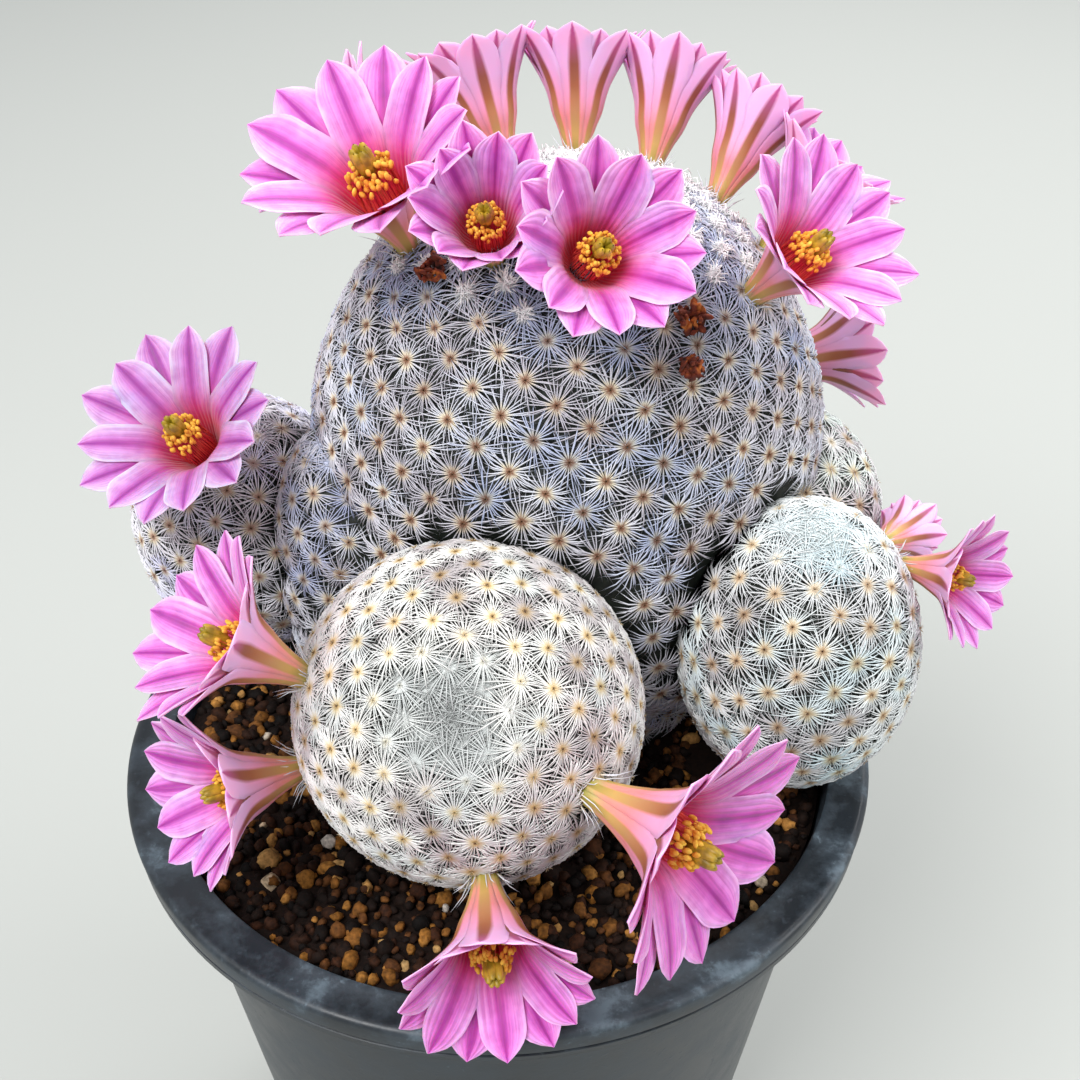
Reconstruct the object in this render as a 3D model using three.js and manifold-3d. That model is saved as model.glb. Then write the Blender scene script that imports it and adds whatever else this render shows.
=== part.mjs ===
// A clump of round cactus heads in flower, growing in a round plastic pot.
// Millimetres, +Z up. The origin is the middle of the pot's underside, on the surface that it stands on.
// Seen from the front, +X is right and +Y is away.

import * as THREE from 'three';
import { ConvexHull } from 'three/addons/math/ConvexHull.js';
import { mergeVertices } from 'three/addons/utils/BufferGeometryUtils.js';
import Module from 'manifold-3d';

const wasm = await Module();
wasm.setup();

// ---- Driving dimensions ----

// Gap between pieces that touch.
const FIT_GAP = 0.3;

const POT_HEIGHT = 95;
const POT_SIDES = 40;
const RIM_RADIUS = 55;
const RIM_WIDTH = 6;
const RIM_THICKNESS = 1.6;
const RIM_CHAMFER = 1;
const SKIRT_DEPTH = 5;
const SKIRT_TAPER = 0.5;
const WALL_THICKNESS = 1.3;
const BASE_RADIUS = 38;
const BASE_THICKNESS = 2;
const BASE_CHAMFER = 1.5;
const SLOT_COUNT = 6;
const SLOT_WIDTH = 3.4;
const SLOT_LENGTH = 9;
const SLOT_INSET = 2;

const SOIL_TOP = 92;
const SOIL_RINGS = 5;
const SOIL_SIDES = 26;
const GRAIN_HEIGHT = 1.3;

// Stars of spines: how far their tips and the valleys between the rays lie below their middles, and how
// far out both reach, as shares of the spacing between stars.
const STAR_RAYS = 6;
const STAR_SPACING = 12.4;
const TIP_DEPTH = 1.4;
const VALLEY_DEPTH = 2.4;
const STAR_REACH = 0.395;
const VALLEY_REACH = 0.42;
const STAR_TO_NECK = 1.2;

const NECK_SIDES = 12;
const NECK_DEPTH = 6;
const NECK_RECESS = 2;
const COLLAR_STEP = 0.1;

// Gap that a head leaves to the smooth outside of a neighbour, and how finely that outside is cut.
const PRESS_GAP = 0.5;
const SMOOTH_SPACING = 7;
const SEAT_GROWTH = 1.02;

const TUBE_LENGTH = 7.6;
const TUBE_ROOT = 3;
const TUBE_FOOT_RADIUS = 1.6;
const TUBE_WAIST_RADIUS = 2.4;
const THROAT_RADIUS = 3.9;
const THROAT_DEPTH = 0.8;
const THROAT_CREASE = 0.4;
const THROAT_BACK = 0.3;

const PETALS = 14;
const PETAL_LENGTH = 14.5;
const PETAL_WIDTH = 5.7;
const PETAL_CLEARANCE = 0.93;
const PETAL_THICKNESS = 0.9;
const PETAL_CUP = 0.5;
const PETAL_CURL = 8;
const INNER_STEEPER = 13;
const INNER_SHARE = 0.94;

const HEART_SIDES = 5;
const HEART_FOOT_RADIUS = 1.2;
const STAMEN_RADIUS = 2.3;
const STAMEN_HEIGHT = 4.6;
const STYLE_RADIUS = 0.9;
const STYLE_FOOT = 3.6;
const STIGMA_RADIUS = 1.4;
const STIGMA_FOOT = 5.6;
const STIGMA_TOP = 8;

const HUSK_SIDES = 5;
const HUSK_RADIUS = 1.5;
const HUSK_LENGTH = 4.5;

const UP = new THREE.Vector3(0, 0, 1);
const FULL_TURN = 2 * Math.PI;
const GOLDEN_ANGLE = Math.PI * (3 - Math.sqrt(5));
// Area that one point takes in an even pattern, against the square of the spacing.
const CELL_AREA = Math.sqrt(3) / 2;

// ---- Helpers ----

// Repeatable random numbers from 0 to 1.
function seededRandom(seed) {
  let state = seed;
  return () => {
    state = (state + 0x6d2b79f5) | 0;
    let mixed = Math.imul(state ^ (state >>> 15), 1 | state);
    mixed = (mixed + Math.imul(mixed ^ (mixed >>> 7), 61 | mixed)) ^ mixed;
    return ((mixed ^ (mixed >>> 14)) >>> 0) / 4294967296;
  };
}

function toSolid(geometry) {
  const bare = geometry.clone();
  bare.deleteAttribute('normal');
  bare.deleteAttribute('uv');
  const merged = mergeVertices(bare, 1e-4);
  return new wasm.Manifold(new wasm.Mesh({
    numProp: 3,
    vertProperties: new Float32Array(merged.attributes.position.array),
    triVerts: new Uint32Array(merged.index.array),
  }));
}

function toGeometry(solid) {
  const mesh = solid.getMesh();
  const geometry = new THREE.BufferGeometry();
  geometry.setAttribute('position', new THREE.BufferAttribute(mesh.vertProperties, 3));
  geometry.setIndex(new THREE.BufferAttribute(mesh.triVerts, 1));
  return geometry;
}

function indexedGeometry(points, triangles) {
  const geometry = new THREE.BufferGeometry();
  geometry.setFromPoints(points);
  geometry.setIndex(triangles.flat());
  return geometry;
}

function named(name, geometry, colour, roughness) {
  const surface = new THREE.MeshStandardMaterial({ color: colour, roughness, metalness: 0 });
  const mesh = new THREE.Mesh(geometry, surface);
  mesh.name = name;
  return mesh;
}

function lathe(outline, sides) {
  const profile = outline.map(([radius, height]) => new THREE.Vector2(radius, height));
  return new THREE.LatheGeometry(profile, sides).rotateX(Math.PI / 2);
}

// ---- Pot ----

const wallTop = RIM_RADIUS - RIM_WIDTH;

function wallInside(height) {
  const share = height / POT_HEIGHT;
  return BASE_RADIUS - WALL_THICKNESS + (wallTop - BASE_RADIUS + WALL_THICKNESS) * share;
}

// One moulding: flat base, tapered wall, and a wide flat rim whose edge turns down as a skirt.
function potGeometry() {
  const underRim = POT_HEIGHT - RIM_THICKNESS;
  const skirtFoot = POT_HEIGHT - SKIRT_DEPTH;
  const outline = [
    [0, 0],
    [BASE_RADIUS - BASE_CHAMFER, 0],
    [BASE_RADIUS, BASE_CHAMFER],
    [wallInside(underRim) + WALL_THICKNESS, underRim],
    [RIM_RADIUS - RIM_THICKNESS, underRim],
    [RIM_RADIUS - RIM_THICKNESS, skirtFoot],
    [RIM_RADIUS - SKIRT_TAPER, skirtFoot],
    [RIM_RADIUS, POT_HEIGHT - RIM_CHAMFER],
    [RIM_RADIUS - RIM_CHAMFER, POT_HEIGHT],
    [wallTop, POT_HEIGHT],
    [wallInside(BASE_THICKNESS), BASE_THICKNESS],
    [0, BASE_THICKNESS],
  ];
  const slot = new THREE.BoxGeometry(SLOT_LENGTH, SLOT_WIDTH, 3 * BASE_THICKNESS);
  let pot = toSolid(lathe(outline, POT_SIDES));
  for (let number = 0; number < SLOT_COUNT; number += 1) {
    const turned = slot.clone().translate(BASE_RADIUS - SLOT_LENGTH - SLOT_INSET, 0, 0);
    turned.rotateZ((number / SLOT_COUNT) * FULL_TURN);
    pot = pot.subtract(toSolid(turned));
  }
  return toGeometry(pot);
}

// ---- Heads ----

// A head is round: half axes across (wide), front to back (deep), above its middle (up) and below it
// (down). A neck of its own radius runs from its underside to its foot, in the soil.
const HEADS = [
  { name: 'head_front', centre: [-3.2, -20, 116.8], wide: 22.8, deep: 22.6, up: 22.4, down: 22.4, neck: 10,
    foot: [-3, -17], colour: '#d9dbd2' },
  { name: 'head_right', centre: [42.2, -5, 114.6], wide: 16.5, deep: 16.5, up: 23, down: 21, neck: 6.5,
    foot: [33, -4], colour: '#d3d8d2' },
  { name: 'head_right_back', centre: [40.4, 20, 120.5], wide: 16.9, deep: 16.9, up: 17.4, down: 22,
    neck: 7.5, foot: [27, 13], colour: '#ccd2cf' },
  { name: 'head_left', centre: [-38.7, 22, 119.3], wide: 16.8, deep: 16.8, up: 18, down: 23, neck: 8,
    foot: [-28, 18], colour: '#c6cdca' },
  { name: 'lobe_low_left', centre: [-21, 12, 121], wide: 11.5, deep: 13, up: 20, down: 34, neck: 8,
    foot: [-18, 12], colour: '#cbd0cc' },
  { name: 'head_main', centre: [10, 20, 134], wide: 36.6, deep: 31, up: 41, down: 58, neck: 25,
    foot: [10, 20], colour: '#c9cfcc' },
];

// Point of a head's skin in a direction of the unit sphere, raised by so much along its normal.
function skinPoint(head, direction, lift) {
  const height = direction.z > 0 ? head.up : head.down;
  const axes = new THREE.Vector3(head.wide, head.deep, height);
  const normal = direction.clone().divide(axes).normalize();
  const middle = new THREE.Vector3(...head.centre);
  return direction.clone().multiply(axes).addScaledVector(normal, lift).add(middle);
}

// Sine of the angle from the underside's pole at which the neck begins.
function neckSine(head) {
  return head.neck / Math.min(head.wide, head.deep);
}

// How many points cover a head at a spacing between neighbours.
function coverCount(head, spacing) {
  const radius = (head.wide + head.deep + (head.up + head.down) / 2) / 3;
  return Math.round((2 * FULL_TURN * radius ** 2) / (CELL_AREA * spacing ** 2));
}

// Evenly spread directions, in the spirals in which the areoles grow.
function spiralDirections(count, lowest) {
  const directions = [];
  for (let number = 0; number < count; number += 1) {
    const z = 1 - (2 * number + 1) / count;
    const across = Math.sqrt(1 - z * z);
    const turn = number * GOLDEN_ANGLE;
    if (z > lowest) {
      directions.push(new THREE.Vector3(across * Math.cos(turn), across * Math.sin(turn), z));
    }
  }
  return directions;
}

// Closed triangles over points that all lie on the unit sphere.
function sphereTriangles(directions) {
  const numbers = new Map(directions.map((direction, number) => [direction, number]));
  const hull = new ConvexHull().setFromPoints(directions);
  return hull.faces.map((face) => {
    const corners = [face.edge, face.edge.next, face.edge.next.next];
    return corners.map((edge) => numbers.get(edge.head().point));
  });
}

// The neck: two rings on the head's underside, a ring at the foot, and the foot's middle, all grown by
// a clearance.
function addNeck(head, directions, points, clearance) {
  const begin = Math.asin(neckSine(head));
  const top = new THREE.Vector3(...head.centre);
  top.z -= head.down * Math.cos(begin);
  const foot = new THREE.Vector3(...head.foot, SOIL_TOP - NECK_DEPTH);
  foot.addScaledVector(top.clone().sub(foot), -clearance / (top.z - foot.z));
  const levels = [
    { angle: begin + COLLAR_STEP, recess: TIP_DEPTH },
    { angle: begin, recess: NECK_RECESS },
    { angle: begin / 2 },
  ];
  for (const { angle, recess } of levels) {
    for (let side = 0; side < NECK_SIDES; side += 1) {
      const turn = (side / NECK_SIDES) * FULL_TURN;
      const direction = new THREE.Vector3().setFromSphericalCoords(1, Math.PI - angle, turn);
      direction.set(direction.z, direction.x, direction.y);
      directions.push(direction);
      const level = recess ? skinPoint(head, direction, clearance - recess) : foot.clone();
      const outward = new THREE.Vector3(direction.x, direction.y, 0).normalize();
      points.push(level.addScaledVector(outward, recess ? clearance : head.neck + clearance));
    }
  }
  directions.push(new THREE.Vector3(0, 0, -1));
  points.push(foot);
}

// The smooth outer shape of a head, grown by a clearance: what its neighbours press against. Its flat
// facets cut below a round surface, so it is grown by their sag too.
function smoothHead(head, gap) {
  const sag = SMOOTH_SPACING ** 2 / (6 * Math.min(head.wide, head.deep));
  const clearance = gap + sag;
  const lowest = -Math.cos(Math.asin(neckSine(head)) + 2 * COLLAR_STEP);
  const directions = spiralDirections(coverCount(head, SMOOTH_SPACING), lowest);
  const points = directions.map((direction) => skinPoint(head, direction, clearance));
  addNeck(head, directions, points, clearance);
  return toSolid(indexedGeometry(points, sphereTriangles(directions)));
}

// Every areole carries a star of spines that lies on the skin: a raised middle, with ridges that run
// out to raised tips and valleys between them. The stars cover the head.
function spinyHead(head, seed) {
  const random = seededRandom(seed);
  const count = coverCount(head, STAR_SPACING);
  const reach = STAR_REACH * Math.sqrt((2 * FULL_TURN) / (CELL_AREA * count));
  const lowest = -Math.cos(Math.asin(neckSine(head)) + COLLAR_STEP + STAR_TO_NECK * reach);
  const directions = [];
  const points = [];
  const stars = spiralDirections(count, lowest);
  for (const middle of stars) {
    const east = new THREE.Vector3().crossVectors(UP, middle).normalize();
    const north = new THREE.Vector3().crossVectors(middle, east);
    const spin = random() * FULL_TURN;
    directions.push(middle);
    points.push(skinPoint(head, middle, 0));
    for (let corner = 0; corner < 2 * STAR_RAYS; corner += 1) {
      const isTip = corner % 2 === 0;
      const turn = spin + (corner / (2 * STAR_RAYS)) * FULL_TURN;
      const distance = reach * (isTip ? 1 : VALLEY_REACH);
      const direction = middle.clone().addScaledVector(east, distance * Math.cos(turn));
      direction.addScaledVector(north, distance * Math.sin(turn)).normalize();
      directions.push(direction);
      points.push(skinPoint(head, direction, isTip ? -TIP_DEPTH : -VALLEY_DEPTH));
    }
  }
  addNeck(head, directions, points, 0);
  const cornersPerStar = 1 + 2 * STAR_RAYS;
  const starOf = (number) => Math.min(Math.floor(number / cornersPerStar), stars.length);
  const placeOf = (number) => number % cornersPerStar;
  const outsideStars = sphereTriangles(directions).filter((triangle) => {
    const star = starOf(triangle[0]);
    if (star === stars.length || triangle.some((number) => starOf(number) !== star)) return true;
    const tips = triangle.filter((number) => placeOf(number) % 2 === 1).length;
    return tips > 1 && triangle.every((number) => placeOf(number) !== 0);
  });
  const rays = [];
  for (let star = 0; star < stars.length; star += 1) {
    const first = star * cornersPerStar;
    for (let corner = 0; corner < 2 * STAR_RAYS; corner += 1) {
      rays.push([first, first + 1 + corner, first + 1 + ((corner + 1) % (2 * STAR_RAYS))]);
    }
  }
  return toSolid(indexedGeometry(points, outsideStars.concat(rays)));
}

const wholeHeads = new Map(HEADS.map((head, number) => [head.name, spinyHead(head, 100 + number)]));

// Heads that press on each other are flattened where they meet: each gives way to those before it.
function headMeshes() {
  return HEADS.map((head, number) => {
    let solid = wholeHeads.get(head.name);
    for (const neighbour of HEADS.slice(0, number)) {
      solid = solid.subtract(smoothHead(neighbour, PRESS_GAP));
    }
    return named(head.name, toGeometry(solid), head.colour, 0.9);
  });
}

// ---- Soil ----

// Round body of granular mix that fills the pot, with a coarse grained top and a plain hole for each
// neck.
function soilGeometry() {
  const random = seededRandom(7);
  const floor = BASE_THICKNESS + FIT_GAP;
  const rings = [{ radius: wallInside(floor) - FIT_GAP, height: floor, grain: 0 }];
  for (let ring = 0; ring < SOIL_RINGS; ring += 1) {
    const radius = (wallInside(SOIL_TOP) - 2 * FIT_GAP) * (1 - ring / SOIL_RINGS);
    rings.push({ radius, height: SOIL_TOP, grain: ring === 0 ? 0 : GRAIN_HEIGHT });
  }
  const points = [new THREE.Vector3(0, 0, floor), new THREE.Vector3(0, 0, SOIL_TOP)];
  for (const { radius, height, grain } of rings) {
    for (let side = 0; side < SOIL_SIDES; side += 1) {
      const turn = (side / SOIL_SIDES) * FULL_TURN;
      const top = height + grain * (random() - 0.5);
      points.push(new THREE.Vector3(radius * Math.cos(turn), radius * Math.sin(turn), top));
    }
  }
  const triangles = [];
  const corner = (ring, side) => 2 + ring * SOIL_SIDES + (side % SOIL_SIDES);
  for (let side = 0; side < SOIL_SIDES; side += 1) {
    triangles.push([0, corner(0, side + 1), corner(0, side)]);
    for (let ring = 0; ring < rings.length - 1; ring += 1) {
      triangles.push([corner(ring, side), corner(ring, side + 1), corner(ring + 1, side)]);
      triangles.push([corner(ring, side + 1), corner(ring + 1, side + 1), corner(ring + 1, side)]);
    }
    triangles.push([1, corner(rings.length - 1, side), corner(rings.length - 1, side + 1)]);
  }
  let soil = toSolid(indexedGeometry(points, triangles));
  for (const head of HEADS) {
    soil = soil.subtract(smoothHead(head, FIT_GAP));
  }
  return toGeometry(soil);
}

// ---- Blooms ----

// Where each bloom grows on its head and which way it points, as degrees round from the front and
// degrees up; how far its petals open from its axis; and how long it is against the usual one.
const BLOOMS = [
  { on: 'head_main', at: [-73, 53.5], aim: [-35.9, 61.2], open: 50, size: 1.123, roll: 25 },
  { on: 'head_main', at: [-112, 54], aim: [-96.4, 33.1], open: 46, size: 1.018, roll: 15 },
  { on: 'head_main', at: [-31, 59], aim: [-4.5, 48.7], open: 30, size: 0.862, roll: 1 },
  { on: 'head_main', at: [2, 57], aim: [15, 38], open: 43, size: 0.92, roll: 0 },
  { on: 'head_main', at: [63, 43.5], aim: [49, 48], open: 50, size: 0.95, roll: 0 },
  { on: 'head_main', at: [-150, 62], aim: [-144.1, 61.7], open: 32, size: 0.882, roll: 19 },
  { on: 'head_main', at: [176, 62], aim: [-180.8, 66.5], open: 30, size: 0.863, roll: 6 },
  { on: 'head_main', at: [142, 60], aim: [158.3, 55.3], open: 28, size: 0.836, roll: 5.5 },
  { on: 'head_main', at: [112, 54], aim: [142, 45.1], open: 28, size: 0.823, roll: 14 },
  { on: 'head_main', at: [98, 42], aim: [102, 54], open: 38, size: 0.88, roll: 0 },
  { on: 'head_main', at: [123, 3], aim: [100, 8], open: 40, size: 0.85, roll: 0 },
  { on: 'head_left', at: [0, 53], aim: [-31, 55], open: 60, size: 0.98, roll: 0 },
  { on: 'head_front', at: [-79, 25], aim: [-74, 41], open: 47, size: 0.95, roll: 10 },
  { on: 'head_front', at: [-78, -15], aim: [-53, 13], open: 43, size: 0.92, roll: 0 },
  { on: 'head_front', at: [7, -24], aim: [6, -2], open: 40, size: 0.97, roll: 0 },
  { on: 'head_front', at: [44, 4], aim: [51, 1], open: 61, size: 1.15, roll: 8 },
  { on: 'head_right', at: [122, 35], aim: [143, -20], open: 24, size: 0.55, roll: 0 },
  { on: 'head_right', at: [105, 32], aim: [50, 12], open: 50, size: 0.68, roll: 0 },
];

function headNamed(name) {
  return HEADS.find((head) => head.name === name);
}

// Unit vector so many degrees round from the front and so many degrees up.
function wayTo([round, up]) {
  const turn = THREE.MathUtils.degToRad(round);
  const rise = THREE.MathUtils.degToRad(up);
  return new THREE.Vector3(
    Math.sin(turn) * Math.cos(rise), -Math.cos(turn) * Math.cos(rise), Math.sin(rise));
}

function onCircle(radius, turn, height) {
  return new THREE.Vector3(radius * Math.cos(turn), radius * Math.sin(turn), height);
}

// Points of a petal on its way out: two sections of left edge, middle, right edge and back, then the
// tip. It bows from the throat, and is no wider than leaves its neighbours clear.
function petalPoints(turn, open, length) {
  const stretches = [
    { share: 0.3, lean: open / 2 },
    { share: 0.4, lean: open },
    { share: 0.3, lean: open + PETAL_CURL },
  ];
  const side = onCircle(1, turn + FULL_TURN / 4, 0);
  const out = onCircle(1, turn, 0);
  const middle = onCircle(THROAT_RADIUS, turn, TUBE_LENGTH);
  const points = [];
  for (const { share, lean } of stretches) {
    const angle = THREE.MathUtils.degToRad(lean);
    const along = out.clone().multiplyScalar(Math.sin(angle)).addScaledVector(UP, Math.cos(angle));
    const inward = new THREE.Vector3().crossVectors(along, side);
    middle.addScaledVector(along, share * length);
    const edge = middle.clone().addScaledVector(inward, PETAL_CUP);
    const width = Math.min(PETAL_WIDTH, (PETAL_CLEARANCE * FULL_TURN * edge.dot(out)) / PETALS);
    points.push(edge.clone().addScaledVector(side, -width / 2));
    points.push(middle.clone());
    points.push(edge.clone().addScaledVector(side, width / 2));
    points.push(middle.clone().addScaledVector(inward, -PETAL_THICKNESS));
  }
  const tip = points.length - 3;
  return [...points.slice(0, tip - 1), points[tip]];
}

// Tube and petals in one piece. The petals grow out of the throat's edge side by side. Every second one
// is an inner petal, which stands steeper and is a little shorter.
function bloomSolid(bloom) {
  const foot = new THREE.Vector3(0, 0, -TUBE_ROOT);
  const floor = new THREE.Vector3(0, 0, TUBE_LENGTH - THROAT_DEPTH);
  const step = FULL_TURN / PETALS;
  const points = [foot, floor];
  const petals = [];
  for (let number = 0; number < PETALS; number += 1) {
    const turn = number * step + THREE.MathUtils.degToRad(bloom.roll);
    const before = turn - step / 2;
    const inner = number % 2 === 1;
    petals.push(points.length);
    points.push(onCircle(TUBE_FOOT_RADIUS, before, -TUBE_ROOT));
    points.push(onCircle(TUBE_WAIST_RADIUS, before, TUBE_LENGTH / 2));
    points.push(onCircle(THROAT_RADIUS, before, TUBE_LENGTH));
    points.push(onCircle(THROAT_RADIUS - THROAT_CREASE, turn, TUBE_LENGTH));
    points.push(onCircle(THROAT_RADIUS + THROAT_BACK, turn, TUBE_LENGTH - THROAT_BACK));
    const open = bloom.open - (inner ? INNER_STEEPER : 0);
    points.push(...petalPoints(turn, open, PETAL_LENGTH * (inner ? INNER_SHARE : 1)));
  }
  const triangles = [];
  petals.forEach((first, number) => {
    const next = petals[(number + 1) % PETALS];
    const [low, waist, left, crease, back] = [0, 1, 2, 3, 4].map((place) => first + place);
    const [nextLow, nextWaist, right] = [0, 1, 2].map((place) => next + place);
    triangles.push([0, nextLow, low], [low, nextLow, waist], [nextLow, nextWaist, waist]);
    triangles.push([waist, back, left], [waist, nextWaist, back], [nextWaist, right, back]);
    triangles.push([1, left, crease], [1, crease, right]);
    const root = [left, crease, right, back];
    const near = [5, 6, 7, 8].map((place) => first + place);
    const far = [9, 10, 11, 12].map((place) => first + place);
    const tip = first + 13;
    for (let corner = 0; corner < 4; corner += 1) {
      const after = (corner + 1) % 4;
      triangles.push([root[corner], near[after], root[after]], [root[corner], near[corner], near[after]]);
      triangles.push([near[corner], far[after], near[after]], [near[corner], far[corner], far[after]]);
      triangles.push([far[corner], tip, far[after]]);
    }
  });
  return toSolid(indexedGeometry(points, triangles));
}

// Stamens in a ring round the stigma on its style, just above the throat's floor.
function bloomHeartSolid() {
  const floor = TUBE_LENGTH - THROAT_DEPTH + 2 * FIT_GAP;
  return toSolid(lathe([
    [0, floor],
    [HEART_FOOT_RADIUS, floor],
    [STAMEN_RADIUS, floor + STAMEN_HEIGHT],
    [STYLE_RADIUS, floor + STYLE_FOOT],
    [STIGMA_RADIUS, floor + STIGMA_FOOT],
    [0, floor + STIGMA_TOP],
  ], HEART_SIDES));
}

// A head grown a little about its own middle, which leaves a bloom's foot just clear of the real one.
function grownHead(head) {
  const middle = new THREE.Vector3(...head.centre);
  const matrix = new THREE.Matrix4().makeTranslation(middle);
  matrix.scale(new THREE.Vector3().setScalar(SEAT_GROWTH)).multiply(
    new THREE.Matrix4().makeTranslation(middle.clone().negate()));
  return toSolid(toGeometry(wholeHeads.get(head.name)).applyMatrix4(matrix));
}

// Stands a bloom's solid on its head, pointing the way that it grows.
function placed(bloom, solid) {
  const foot = skinPoint(headNamed(bloom.on), wayTo(bloom.at), 0);
  const turned = new THREE.Quaternion().setFromUnitVectors(UP, wayTo(bloom.aim));
  const matrix = new THREE.Matrix4().compose(foot, turned, new THREE.Vector3().setScalar(bloom.size));
  return toGeometry(solid).applyMatrix4(matrix);
}

// The same, with the part of it that would be inside the head cut away.
function seated(bloom, solid) {
  return toGeometry(toSolid(placed(bloom, solid)).subtract(grownHead(headNamed(bloom.on))));
}

function bloomMeshes() {
  return BLOOMS.flatMap((bloom, number) => {
    const label = `bloom_${String(number + 1).padStart(2, '0')}`;
    return [
      named(`${label}_petals`, seated(bloom, bloomSolid(bloom)), '#e07ac8', 0.6),
      named(`${label}_stamens`, placed(bloom, bloomHeartSolid()), '#d9952b', 0.7),
    ];
  });
}

// ---- Withered flowers ----

const HUSKS = [
  { on: 'head_main', at: [32.5, 43.7], aim: [32, 50], size: 1 },
  { on: 'head_main', at: [28.5, 35.4], aim: [28, 40], size: 0.8 },
  { on: 'head_main', at: [-46.9, 51.2], aim: [-46, 58], size: 0.9 },
];

// A shrivelled tube, pinched near its top, with a frayed hollow end.
function huskSolid() {
  return toSolid(lathe([
    [0, -HUSK_RADIUS],
    [HUSK_RADIUS / 2, -HUSK_RADIUS],
    [HUSK_RADIUS, HUSK_LENGTH / 3],
    [HUSK_RADIUS / 2, HUSK_LENGTH * 0.7],
    [HUSK_RADIUS, HUSK_LENGTH],
    [0, HUSK_LENGTH * 0.8],
  ], HUSK_SIDES));
}

function huskMeshes() {
  return HUSKS.map((husk, number) => (
    named(`withered_flower_${number + 1}`, seated(husk, huskSolid()), '#8a4a2c', 0.9)));
}

const cactus = new THREE.Group();
cactus.add(named('pot', potGeometry(), '#2b2f33', 0.45));
cactus.add(named('soil', soilGeometry(), '#3d2a1e', 0.95));
cactus.add(...headMeshes());
cactus.add(...bloomMeshes());
cactus.add(...huskMeshes());

export default cactus;
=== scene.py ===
import math

import bmesh
import bpy
import numpy as np
from mathutils import Matrix, Vector, kdtree, noise


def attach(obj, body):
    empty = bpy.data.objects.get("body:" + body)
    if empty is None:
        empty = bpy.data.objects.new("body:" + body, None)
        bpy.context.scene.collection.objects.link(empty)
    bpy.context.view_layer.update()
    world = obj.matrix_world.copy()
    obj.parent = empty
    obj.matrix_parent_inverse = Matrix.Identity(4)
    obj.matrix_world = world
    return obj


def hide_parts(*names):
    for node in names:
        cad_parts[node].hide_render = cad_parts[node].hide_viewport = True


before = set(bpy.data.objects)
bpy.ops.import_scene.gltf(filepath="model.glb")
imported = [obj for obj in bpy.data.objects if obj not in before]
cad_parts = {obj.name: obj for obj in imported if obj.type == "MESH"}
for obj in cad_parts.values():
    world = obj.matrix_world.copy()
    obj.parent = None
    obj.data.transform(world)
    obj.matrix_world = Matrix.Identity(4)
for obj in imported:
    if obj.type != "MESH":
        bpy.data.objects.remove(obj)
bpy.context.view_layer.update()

# ---- Pot ----
# A round nursery pot, injection moulded in one piece from charcoal polypropylene: a tapered wall, a flat
# base with drainage slots, and a wide flat rim whose edge turns down as a skirt with a groove round it.

# Lengths are in millimetres here, and metres only in meshes, light and camera.
MM = 0.001
FULL_TURN = 2 * math.pi
POT_HEIGHT = 95
POT_SIDES = 180
RIM_RADIUS = 55
RIM_WIDTH = 6
RIM_THICKNESS = 1.6
SKIRT_DEPTH = 5
WALL_THICKNESS = 1.3
BASE_RADIUS = 38
BASE_THICKNESS = 2
SLOT_COUNT = 6
SLOT_RADIUS = 27
SLOT_LENGTH = 9
SLOT_WIDTH = 3.4
DUST_PATCH = 8.333
DUST_SPECK = 1.111
DUST_DEPTH = 0.0002
SHARP_EDGE = 50


def wall_inside(height):
    """Inner radius of the pot's wall at a height."""
    foot = BASE_RADIUS - WALL_THICKNESS
    return foot + (RIM_RADIUS - RIM_WIDTH - foot) * height / POT_HEIGHT


def linear(colour):
    """An sRGB hex colour as linear red, green, blue and alpha."""
    parts = [int(colour[place:place + 2], 16) / 255 for place in (1, 3, 5)]
    return [part / 12.92 if part <= 0.04045 else ((part + 0.055) / 1.055) ** 2.4 for part in parts] + [1]


def feed(node, **inputs):
    """Gives a node's inputs values or links. They are named by socket, with _ for a space, or inNUMBER."""
    for name, value in inputs.items():
        socket = node.inputs[int(name[2:]) if name[2:].isdigit() else name.replace("_", " ")]
        if isinstance(value, bpy.types.NodeSocket):
            node.id_data.links.new(value, socket)
        else:
            socket.default_value = value


def add(tree, kind, settings=None, stops=(), out=0, **inputs):
    """Adds a shader node with its settings, its colours as (place, hex) stops, and its inputs."""
    made = tree.nodes.new("ShaderNode" + kind)
    for name, value in (settings or {}).items():
        setattr(made, name, value)
    elements = made.color_ramp.elements if stops else ()
    while len(elements) < len(stops):
        elements.new(0.5)
    for element, (place, colour) in zip(elements, stops):
        element.position = place
        element.color = linear(colour)
    feed(made, **inputs)
    return made.outputs[out]


def per_metre(size):
    """The scale of a pattern whose patches are so many millimetres wide."""
    return round(1 / (size * MM))


def material(name):
    """A new material with its node tree and its own surface shader."""
    made = bpy.data.materials.new(name)
    made.use_nodes = True
    return made, made.node_tree, made.node_tree.nodes["Principled BSDF"]


def piece(name, points, faces, materials, slot, replaced=(), face_materials=None):
    """A smooth mesh piece from points, and faces with the same number of corners each."""
    points = np.asarray(points, float)
    faces = np.asarray(faces, int)
    corners = faces.shape[1]
    mesh = bpy.data.meshes.new(name)
    mesh.vertices.add(len(points))
    mesh.vertices.foreach_set("co", (points * MM).ravel())
    mesh.loops.add(faces.size)
    mesh.loops.foreach_set("vertex_index", faces.ravel())
    mesh.polygons.add(len(faces))
    mesh.polygons.foreach_set("loop_start", np.arange(0, faces.size, corners))
    mesh.polygons.foreach_set("loop_total", np.full(len(faces), corners))
    mesh.polygons.foreach_set("use_smooth", np.full(len(faces), True))
    for one in materials:
        mesh.materials.append(one)
    if face_materials is not None:
        mesh.polygons.foreach_set("material_index", face_materials)
    mesh.update(calc_edges=True)
    made = bpy.data.objects.new(name, mesh)
    bpy.context.scene.collection.objects.link(made)
    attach(made, "root")
    if replaced:
        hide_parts(*replaced)
    return made


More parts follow.
